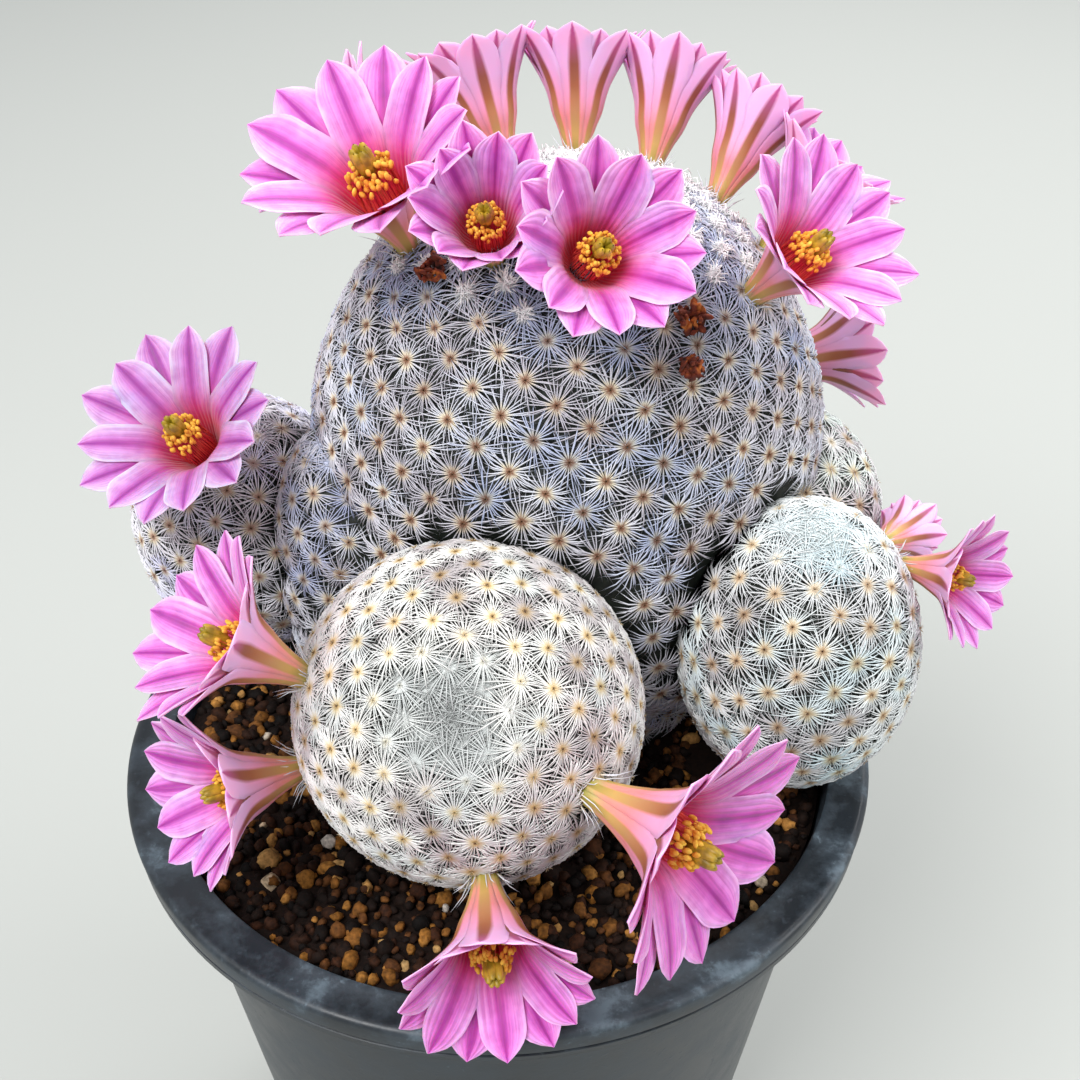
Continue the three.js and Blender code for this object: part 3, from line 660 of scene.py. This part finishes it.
all_points, all_sorts = [], []
for x, y, z, size in grains:
    turn = np.array(Matrix.Rotation(random.uniform(0, FULL_TURN), 3, Vector(random.normal(size=3))))
    squash = random.uniform(0.62, 1.15, 3) * size
    lumps = 1 + 0.2 * random.uniform(-1, 1, (len(pebble), 1))
    all_points.append((pebble * lumps * squash) @ turn.T + (x, y, z))
    all_sorts.append(np.full(len(pebble), random.uniform(0, 1) ** 1.1))
faces = (np.arange(len(grains)) * len(pebble))[:, None, None] + pebble_faces
gravel = piece("soil_grains", np.concatenate(all_points), faces.reshape(-1, 3), [grit_mix], "soil")
number_per_point(gravel, "sort", np.concatenate(all_sorts))

# ---- Blooms ----
# Funnel-shaped flowers. Seven outer tepals grow together into a tube and part at the throat; seven inner
# ones stand inside them. Orange stamens ring a thick olive stigma with upright lobes.

TEPALS = 7
PETAL_LENGTH = 14.5
PETAL_WIDTH = 6.5
PETAL_THICKNESS = 0.28
PETAL_EDGE = 0.03
THROAT_RADIUS = 3.9
TUBE_LENGTH = 7.6
FOOT_DEPTH = 1.2
INNER_INSET = 0.24
TUBE_OVERLAP = 1.16
POINT_START = 0.7
POINT_END = 0.985
ROWS = 24
COLUMNS = 8


def smooth_curve(knots, count):
    """Even points on a smooth curve through knots of (radius, height), and the curve's length."""
    knots = np.array(knots, float)
    padded = np.concatenate([2 * knots[:1] - knots[1:2], knots, 2 * knots[-1:] - knots[-2:-1]])
    t = np.linspace(0, 1, 20, endpoint=False)[:, None]
    dense = []
    for place in range(1, len(padded) - 2):
        a, b, c, d = padded[place - 1:place + 3]
        bend, turn = 2 * a - 5 * b + 4 * c - d, 3 * b - a - 3 * c + d
        dense.append(0.5 * (2 * b + (c - a) * t + bend * t ** 2 + turn * t ** 3))
    dense = np.concatenate(dense + [knots[-1:]])
    length = np.concatenate([[0], np.cumsum(np.linalg.norm(np.diff(dense, axis=0), axis=1))])
    wanted = np.linspace(0, length[-1], count)
    points = np.stack([np.interp(wanted, length, dense[:, axis]) for axis in (0, 1)], 1)
    return points, length[-1]


def tepal(turn, open_angle, length, outer, random):
    """One tepal as rings of points round its edge, up the inside face and back down the outside face, with
    each point's place along the flower and across the tepal."""
    knots = [(1.5, -FOOT_DEPTH), (1.75, 1.2), (2.3, 3.4), (3.05, 5.6)] if outer else [(2.3, 4.8)]
    radius, height = THROAT_RADIUS - (0.0 if outer else INNER_INSET), TUBE_LENGTH
    knots.append((radius, height))
    for share, lean in ((0.3, open_angle * 0.55), (0.4, open_angle), (0.3, open_angle + 8)):
        radius += share * length * math.sin(math.radians(lean))
        height += share * length * math.cos(math.radians(lean))
        knots.append((radius, height))
    line, total = smooth_curve(knots, ROWS + 1)
    along = np.gradient(line, axis=0)
    along /= np.linalg.norm(along, axis=1, keepdims=True)
    free = np.clip((np.linspace(0, total, ROWS + 1) - (total - length)) / length, 0, 1)
    wrapped = FULL_TURN * line[:, 0] / TEPALS * TUBE_OVERLAP
    point = np.clip((free / POINT_END - POINT_START) / (1 - POINT_START), 0, 1)
    spur = 0.1 * np.clip((1 - free) / (1 - POINT_END), 0.1, 1)
    shape = PETAL_WIDTH * random.uniform(0.9, 1.06) * np.maximum((1 - point ** 1.9) ** 0.7, spur)
    width = np.minimum(wrapped, shape)
    bend = line[:, 0] / np.maximum(along[:, 1], 0.3)
    ripple = random.uniform(0, FULL_TURN, 3)
    twist = random.uniform(-0.1, 0.1)
    frill = 1 + 0.05 * point * np.sin(19 * free + ripple[2])
    rings = []
    for row in range(ROWS + 1):
        outward, upward = along[row]
        inside = np.array([-upward, outward])
        x = np.linspace(-0.5, 0.5, COLUMNS + 1) * width[row] * frill[row]
        sweep = x / bend[row]
        side = bend[row] * np.sin(sweep)
        cup = bend[row] * (1 - np.cos(sweep))
        wave = np.sin(ripple[0] + 7 * free[row] + (2 + ripple[1] / 6) * np.sign(x))
        cup += free[row] ** 2 * 0.3 * (2 * x / PETAL_WIDTH) ** 2 * wave
        cup += free[row] ** 2 * twist * x
        cup -= 0.22 * free[row] ** 0.5 * (np.exp(-(x / 0.8) ** 2) - 0.35)
        thick = PETAL_THICKNESS / 2 * (1 - (np.abs(x) / (width[row] / 2 + 1e-9)) ** 3) + PETAL_EDGE
        front = line[row][None] + np.outer(cup + thick, inside)
        back = line[row][None] + np.outer(cup - thick, inside)
        rings += [(front[c, 0], side[c], front[c, 1]) for c in range(COLUMNS + 1)]
        rings += [(back[c, 0], side[c], back[c, 1]) for c in range(COLUMNS, -1, -1)]
    cosine, sine = math.cos(turn), math.sin(turn)
    points = np.array(rings) @ np.array([(cosine, sine, 0), (-sine, cosine, 0), (0, 0, 1)])
    heights = 1 - np.linspace(total, 0, ROWS + 1) / (PETAL_LENGTH + TUBE_LENGTH + 2)
    across = np.concatenate([np.linspace(-1, 1, COLUMNS + 1), np.linspace(1, -1, COLUMNS + 1)])
    return points, np.repeat(heights, 2 * (COLUMNS + 1)), np.tile(across, ROWS + 1)


def tepal_faces():
    """Quads of a tepal, and which of them are on its inside face (0) or outside face (1)."""
    size = 2 * (COLUMNS + 1)
    faces, kinds = [], []
    for row in range(ROWS):
        for place in range(size):
            after = (place + 1) % size
            low, high = row * size, (row + 1) * size
            faces.append([low + after, low + place, high + place, high + after])
            kinds.append(0 if place < COLUMNS else 1)
    for row, flip in ((0, False), (ROWS, True)):
        for place in range(COLUMNS):
            first = row * size
            quad = [first + place, first + place + 1, first + size - 2 - place, first + size - 1 - place]
            faces.append(quad[::-1] if flip else quad)
            kinds.append(1)
    return np.array(faces), np.array(kinds)


def standing(one, points):
    """Stands a flower's points on its head, pointing the way that it grows."""
    foot = skin_at(head_named[one["on"]], way_to(one["at"]))[0][0]
    turn = Vector((0, 0, 1)).rotation_difference(Vector(way_to(one["aim"])))
    return (np.asarray(points) * one["size"]) @ np.array(turn.to_matrix()).T + foot


# Petal, inside: soft orchid pink with a silky sheen, paler at the edges, a magenta line up the middle and a
# deep red throat, whose red is set brighter than its own as painted light against the shade deep in the
# funnel. The fine veins and pleats run lengthwise.
MIX = {"data_type": "RGBA"}
PETAL_BODY = dict(Roughness=0.5, Subsurface_Weight=0.3, Subsurface_Scale=0.0015)
PETAL_MOTTLE = 2.222
PLEAT_DEPTH = 0.0002
petal_inside, tree, shader = material("petal, inside, orchid pink")
along = add(tree, "Attribute", {"attribute_name": "along"}, out="Fac")
across = add(tree, "Attribute", {"attribute_name": "across"}, out="Fac")
tone = add(tree, "Attribute", {"attribute_name": "tone"}, out="Fac")
place = add(tree, "TexCoord", out="Object")
off_middle = add(tree, "Math", {"operation": "ABSOLUTE"}, in0=across)
blade = add(tree, "ValToRGB", Fac=off_middle, stops=[
    (0, "#a42496"), (0.07, "#ae34a2"), (0.2, "#d468c6"), (0.4, "#e48cda"), (0.75, "#eeaee6"), (1, "#f4c8ee")])
# The throat's reds are partly its own crimson and partly painted light: they are brighter to make up for the
# shade deep in the funnel.
throat = add(tree, "ValToRGB", Fac=along, stops=[
    (0.3, "#dc1438"), (0.42, "#ec244e"), (0.54, "#ea3474"), (0.66, "#e254ac")])
throat_share = add(tree, "MapRange", Value=along, From_Min=0.46, From_Max=0.78)
coloured = add(tree, "Mix", MIX, out=COLOUR_OUT, in0=throat_share, in6=throat, in7=blade)
lengthwise = add(tree, "CombineXYZ", X=across, Y=along)
stretched = add(tree, "VectorMath", {"operation": "MULTIPLY"}, in0=lengthwise, in1=(9, 2, 1))
veins = add(tree, "TexNoise", Vector=stretched, Scale=1.6, Detail=4)
half_veins = add(tree, "Math", {"operation": "MULTIPLY"}, in0=veins, in1=0.5)
mottle = add(tree, "TexNoise", Vector=place, Scale=per_metre(PETAL_MOTTLE), Detail=4)
both = add(tree, "Math", {"operation": "MULTIPLY_ADD"}, in0=mottle, in1=0.5, in2=half_veins)
veil = add(tree, "ValToRGB", Fac=both, stops=[(0.36, "#dfc2de"), (0.56, "#ffffff")])
veined = add(tree, "Mix", MULTIPLY, out=COLOUR_OUT, in0=1.0, in6=coloured, in7=veil)
tint = add(tree, "ValToRGB", Fac=tone, stops=[(0, "#e0ffee"), (0.5, "#ffffff"), (1, "#ffe2f6")])
pleated = add(tree, "Math", {"operation": "MULTIPLY"}, in0=across, in1=22.0)
pleats = add(tree, "Math", {"operation": "SINE"}, in0=pleated)
feed(shader, Base_Color=add(tree, "Mix", MULTIPLY, out=COLOUR_OUT, in0=1.0, in6=veined, in7=tint),
     Normal=add(tree, "Bump", Strength=0.35, Distance=PLEAT_DEPTH, Height=pleats),
     Sheen_Weight=0.2, **PETAL_BODY)

# Petal, outside: paler, salmon down the tube, greenish yellow at its foot, with a brown midrib that
# narrows towards the tip.
petal_outside, tree, shader = material("petal, outside, pale pink and salmon")
along = add(tree, "Attribute", {"attribute_name": "along"}, out="Fac")
across = add(tree, "Attribute", {"attribute_name": "across"}, out="Fac")
off_middle = add(tree, "Math", {"operation": "ABSOLUTE"}, in0=across)
blade = add(tree, "ValToRGB", Fac=along, stops=[
    (0.05, "#98923c"), (0.12, "#ccb070"), (0.2, "#f09884"), (0.36, "#f48c90"), (0.5, "#f69abc"),
    (0.68, "#f6b2e0"), (1, "#f8bcea")])
rib = add(tree, "ValToRGB", Fac=along, stops=[
    (0.1, "#a89a48"), (0.24, "#caa05c"), (0.4, "#bc8458"), (0.55, "#a4623f"), (0.7, "#93503f"),
    (0.85, "#a85280"), (1, "#b8489a")])
rib_width = add(tree, "MapRange", Value=along, From_Min=0.25, From_Max=1, To_Min=0.42, To_Max=0.1)
from_rib = add(tree, "Math", {"operation": "SUBTRACT"}, in0=off_middle, in1=rib_width)
rib_share = add(tree, "MapRange", Value=from_rib, From_Min=0.12, From_Max=-0.06)
feed(shader, Base_Color=add(tree, "Mix", MIX, out=COLOUR_OUT, in0=rib_share, in6=blade, in7=rib),
     **PETAL_BODY)

# Pollen: powdery orange-yellow sacs, with grains drawn far coarser than real pollen so that they show.
# They stand on thin smooth filaments, orange-pink in long streaks.
pollen = mottled("anthers, orange yellow pollen", 0.8333, 2, 0.85, [(0.35, "#dc9024"), (0.65, "#f6cc4e")])
filament = mottled("filaments, orange pink", 1.667, 2, 0.5, [(0.35, "#de3a48"), (0.65, "#f07058")])

# Stigma: fleshy, olive with yellow, slightly sticky.
olive = mottled("stigma, olive yellow, moist", 1.111, 3, 0.4, [(0.35, "#857112"), (0.65, "#c4a22c")])

STAMENS = 84
STAMEN_FOOT = 2.6
STAMEN_FOOT_HEIGHT = 6.6
ANTHER_LENGTH = 1.05
ANTHER_WIDTH = 0.62
FILAMENT_WIDTH = 0.22
STYLE_MIDDLE = 9.5
STYLE_LENGTH = 7
STYLE_WIDTH = 0.9
LOBES = 6
LOBE_MIDDLE = 13.9
LOBE_RADIUS = 0.66
LOBE_LENGTH = 4.2
LOBE_WIDTH = 1.35


def bead(centre, axis, length, width, sides=6, rings=4):
    """A small long bead with pointed ends, as points and quads."""
    axis = np.asarray(axis, float) / np.linalg.norm(axis)
    helper = np.array([1.0, 0, 0]) if abs(axis[0]) < 0.8 else np.array([0, 1.0, 0])
    first = np.cross(axis, helper)
    first /= np.linalg.norm(first)
    second = np.cross(axis, first)
    points = []
    for ring in range(rings + 1):
        polar = math.pi * (0.04 + 0.92 * ring / rings)
        for side in range(sides):
            turn = side / sides * FULL_TURN
            points.append(centre - axis * math.cos(polar) * length / 2
                          + (first * math.cos(turn) + second * math.sin(turn)) * math.sin(polar) * width / 2)
    faces = []
    for low in range(0, rings * sides, sides):
        for side in range(sides):
            after = (side + 1) % sides
            faces.append([low + side, low + after, low + sides + after, low + sides + side])
    return points, faces


def heart(random):
    """Stamens in a loose ring round the style, and the stigma's lobes on top of it."""
    points, faces, kinds = [], [], []

    def take(made, quads, kind):
        faces.extend([[index + len(points) for index in quad] for quad in quads])
        kinds.extend([kind] * len(quads))
        points.extend(made)

    for number in range(STAMENS):
        turn = number * GOLDEN_ANGLE
        reach = 1.3 + 1.5 * random.uniform() ** 0.9
        top = 13.4 - 0.9 * reach + 2 * random.uniform() ** 1.5
        way = np.array([math.cos(turn), math.sin(turn), 0])
        base = way * STAMEN_FOOT + (0, 0, STAMEN_FOOT_HEIGHT)
        end = way * reach + (0, 0, top)
        lean = end - base
        take(*bead((base + end) / 2, lean, np.linalg.norm(lean), FILAMENT_WIDTH, 3, 2), 1)
        take(*bead(end, lean + random.normal(size=3) * 1.5, ANTHER_LENGTH, ANTHER_WIDTH), 0)
    take(*bead(np.array([0, 0, STYLE_MIDDLE]), (0, 0, 1), STYLE_LENGTH, STYLE_WIDTH, 8, 6), 2)
    for number in range(LOBES):
        turn = number / LOBES * FULL_TURN + random.uniform(-0.1, 0.1)
        way = np.array([math.cos(turn), math.sin(turn), 0])
        middle = way * LOBE_RADIUS + (0, 0, LOBE_MIDDLE)
        take(*bead(middle, way * 0.09 + (0, 0, 1), LOBE_LENGTH, LOBE_WIDTH, 8, 8), 2)
    return points, faces, kinds


INNER_CLOSER = 3
INNER_SHORTER = 0.98
PETAL_SHARP = 70
USUAL_TONE = 0.5
faces_of_one, kinds_of_one = tepal_faces()
for number, bloom in enumerate(BLOOMS):
    random = np.random.default_rng(200 + number)
    label = f"bloom_{number + 1:02d}"
    tepals, quads, kinds = [], [], []
    for place in range(2 * TEPALS):
        outer = place % 2 == 0
        turn = math.radians(bloom["roll"]) + place / (2 * TEPALS) * FULL_TURN + random.uniform(-0.05, 0.05)
        lean = bloom["open"] + random.uniform(-1.2, 1.2) - (0 if outer else INNER_CLOSER)
        length = PETAL_LENGTH * random.uniform(0.92, 1.03) * (1 if outer else INNER_SHORTER)
        tepals.append(tepal(turn, lean, length, outer, random))
        quads.append(faces_of_one + place * len(tepals[0][0]))
        kinds.append(kinds_of_one)
    points, along, across = (np.concatenate(part) for part in zip(*tepals))
    flower = piece(label + "_tepals", standing(bloom, points), np.concatenate(quads),
                   [petal_inside, petal_outside], "petals", [label + "_petals"],
                   face_materials=np.concatenate(kinds))
    flower.data.set_sharp_from_angle(angle=math.radians(PETAL_SHARP))
    number_per_point(flower, "along", along)
    number_per_point(flower, "across", across)
    number_per_point(flower, "tone", np.full(len(points), bloom.get("tone", USUAL_TONE)))
    points, faces, kinds = heart(random)
    piece(label + "_heart", standing(bloom, points), faces, [pollen, filament, olive], "stamens",
          [label + "_stamens"], face_materials=kinds)

# ---- Withered flowers ----
# Last season's flowers, dried to crumpled brown and orange tufts that stay stuck among the spines. Each
# is a heap of curled scraps of petal.

SCRAPS = 26
TUFT_RADIUS = 1.9
CRUMPLE = 0.12

# Dried petal: brittle, matt, brown and rusty orange in small patches.
dry = mottled("dried petal, rust brown", 1.429, 4, 0.85,
              [(0.32, "#2e1008"), (0.5, "#742c12"), (0.68, "#cc7630")])
for number, husk in enumerate(HUSKS):
    random = np.random.default_rng(400 + number)
    points, faces = [], []
    for scrap in range(SCRAPS):
        turn = scrap * GOLDEN_ANGLE
        reach = TUFT_RADIUS * math.sqrt((scrap + 0.5) / SCRAPS)
        centre = np.array([reach * math.cos(turn), reach * math.sin(turn), 1.6 + 1.4 * random.uniform()])
        axis = random.normal(size=3) + (0, 0, 0.8)
        made, quads = bead(centre, axis, random.uniform(1.2, 2.4), random.uniform(0.6, 1.1), 5, 4)
        faces += [[index + len(points) for index in quad] for quad in quads]
        points += list(np.array(made) + random.uniform(-CRUMPLE, CRUMPLE, (len(made), 3)))
    piece(f"withered_tuft_{number + 1}", standing(husk, points), faces, [dry], "withered",
          [f"withered_flower_{number + 1}"])

# ---- Floor, light and camera ----
# A plain pale floor under a pale sky, with a broad soft light high at the front left, a weaker one on the
# right and one from behind. The camera looks from the front, 36 degrees down. All in metres and watts.

FLOOR_HALF = 3
LAMPS = [
    dict(name="key", spot=(-0.34, -0.42, 0.87), width=0.5, power=8.6),
    dict(name="fill", spot=(0.75, -0.1, 0.6), width=0.6, power=3.8),
    dict(name="back", spot=(0.3, 0.65, 0.85), width=0.5, power=6),
]
LIT_SPOT = (0, 0, 0.12)
CAMERA_SPOT = (0.00612, -0.16411, 0.25006)
CAMERA_DOWN = 36.21

# Matt paper: pale grey, no gloss, so that the plant's own colours stand out.
paper, tree, shader = material("matt paper, pale")
feed(shader, Base_Color=linear("#b0b2ae"), Roughness=0.9)
floor_mesh = bpy.data.meshes.new("floor")
floor_corners = [(FLOOR_HALF * x, FLOOR_HALF * y, 0) for x, y in ((-1, -1), (1, -1), (1, 1), (-1, 1))]
floor_mesh.from_pydata(floor_corners, [], [(0, 1, 2, 3)])
floor_mesh.materials.append(paper)
floor = bpy.data.objects.new("floor", floor_mesh)
bpy.context.scene.collection.objects.link(floor)

for lamp in LAMPS:
    light = bpy.data.lights.new(lamp["name"], "AREA")
    light.size = lamp["width"]
    light.energy = lamp["power"]
    shining = bpy.data.objects.new(lamp["name"], light)
    shining.location = lamp["spot"]
    aim = Vector(LIT_SPOT) - Vector(lamp["spot"])
    shining.rotation_euler = aim.to_track_quat("-Z", "Y").to_euler()
    bpy.context.scene.collection.objects.link(shining)
sky = bpy.data.worlds.new("sky")
sky.use_nodes = True
feed(sky.node_tree.nodes["Background"], Color=linear("#f2f5f8"), Strength=0.73)
bpy.context.scene.world = sky

lens = bpy.data.cameras.new("camera")
lens.sensor_width = 36
lens.lens = 49.47
lens.clip_start = 0.01
camera = bpy.data.objects.new("camera", lens)
camera.location = CAMERA_SPOT
camera.rotation_euler = (math.radians(90 - CAMERA_DOWN), 0, 0)
bpy.context.scene.collection.objects.link(camera)
bpy.context.scene.camera = camera
bpy.context.scene.view_settings.view_transform = "Standard"
